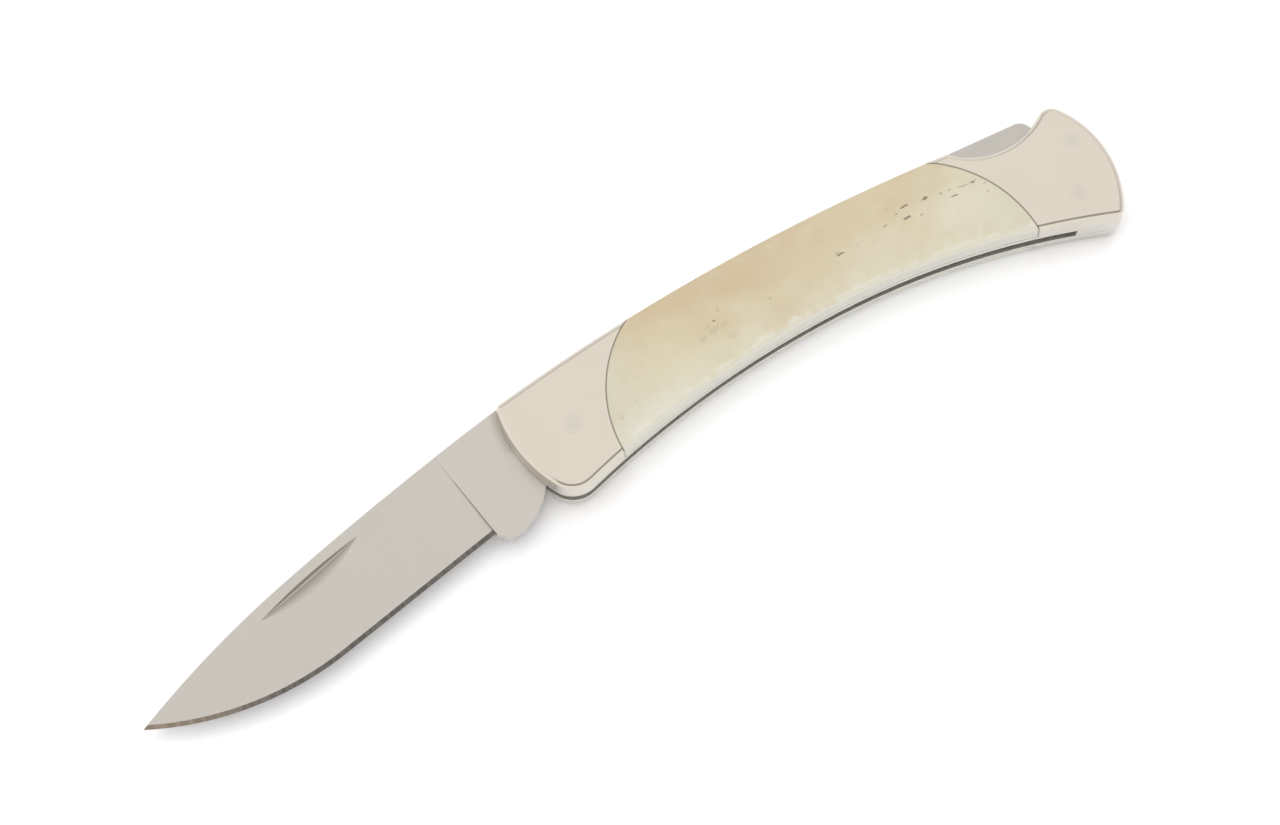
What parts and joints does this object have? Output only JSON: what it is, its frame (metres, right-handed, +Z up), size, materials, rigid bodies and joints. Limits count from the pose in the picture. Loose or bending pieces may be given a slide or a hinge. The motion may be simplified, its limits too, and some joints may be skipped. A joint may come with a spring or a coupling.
{
  "type": "folding pocket knife",
  "caption": "Folding lockback pocket knife, open: drop-point blade with nail nick, bone scales between polished bolsters, rocker lock bar pressed in a thumb notch.",
  "frame": {"origin": "on the blade pivot's axis, on the right-hand face that the knife lies on", "axes": "+X along the handle towards the butt, +Y towards the back of the knife, +Z up along the pivot, out of the left-hand face"},
  "size_m": [0.1438, 0.0227, 0.0108],
  "materials": {
    "nickel_silver": "polished nickel silver",
    "bone": "smooth polished bone",
    "blade_steel": "satin ground steel",
    "lock_steel": "satin spring steel",
    "bronze": "plain bronze bush"
  },
  "bodies": {
    "handle": {"front_bolster_left": "nickel_silver", "front_bolster_right": "nickel_silver", "rear_bolster_left": "nickel_silver", "rear_bolster_right": "nickel_silver", "liner_left": "nickel_silver", "liner_right": "nickel_silver", "rear_spacer": "nickel_silver", "blade_pivot_pin": "nickel_silver", "upper_rivet": "nickel_silver", "lower_rivet": "nickel_silver", "bone_scale_left": "bone", "bone_scale_right": "bone", "lock_spring": "lock_steel", "lock_bar_pin": "lock_steel"},
    "blade": {"blade": "blade_steel", "blade_bush": "bronze"},
    "lock_bar": {"lock_bar": "lock_steel", "lock_bar_bush": "bronze"}
  },
  "joints": [
    {"name": "blade_fold", "type": "hinge", "parent": "handle", "child": "blade", "pos_m": [0, 0, 0.0054], "axis": [0, 0, 1], "range_deg": [0, 169]},
    {"name": "lock_rocker", "type": "hinge", "parent": "handle", "child": "lock_bar", "pos_m": [0.035, 0.0074, 0.0054], "axis": [0, 0, 1], "range_deg": [0, 1.8], "stiffness_Nm_per_rad": 3, "springref_deg": 5.73}
  ]
}
